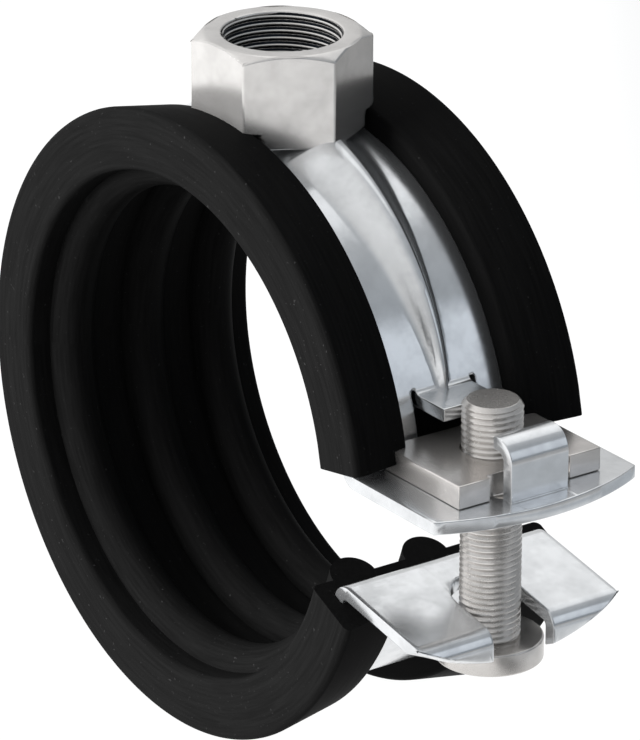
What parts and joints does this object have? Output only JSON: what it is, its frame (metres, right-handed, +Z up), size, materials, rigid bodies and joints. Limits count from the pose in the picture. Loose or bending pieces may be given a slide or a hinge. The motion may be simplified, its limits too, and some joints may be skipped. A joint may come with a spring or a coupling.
{
  "type": "hinged pipe clamp",
  "caption": "Two half bands with a ribbed rubber lining, hinged on one side and closed by a screw on the other, with a threaded hex nut for hanging a pipe.",
  "frame": {"origin": "the middle of the pipe's axis, half way across the clamp's width", "axes": "+Y along the pipe, +Z up through the connection nut, +X towards the closing screw"},
  "size_m": [0.0648, 0.0228, 0.0589],
  "materials": {
    "zinc_sheet": "zinc-plated sheet steel, satin",
    "zinc_plate": "zinc-plated steel, darker and duller",
    "zinc_turned": "zinc-plated turned steel",
    "black_rubber": "matt black EPDM rubber"
  },
  "bodies": {
    "upper_shell": {"upper_band": "zinc_sheet", "connection_nut": "zinc_turned", "nut_plate": "zinc_plate", "hinge_pin": "zinc_turned", "rubber_lining_upper": "black_rubber"},
    "lower_shell": {"lower_band": "zinc_sheet", "rubber_lining_lower": "black_rubber"},
    "screw": {"closing_screw": "zinc_turned"}
  },
  "joints": [
    {"name": "screw_travel", "type": "slide", "parent": "upper_shell", "child": "screw", "axis": [0, 0, 1], "range_m": [0, 0.0115]},
    {"name": "lower_shell_swing", "type": "hinge", "parent": "upper_shell", "child": "lower_shell", "pos_m": [-0.0253, 0, 0], "axis": [0, -1, 0], "range_deg": [0, 10]}
  ],
  "couplings": [
    {"joint": "lower_shell_swing", "follows": "screw_travel", "rad_per_m": 15.17}
  ]
}
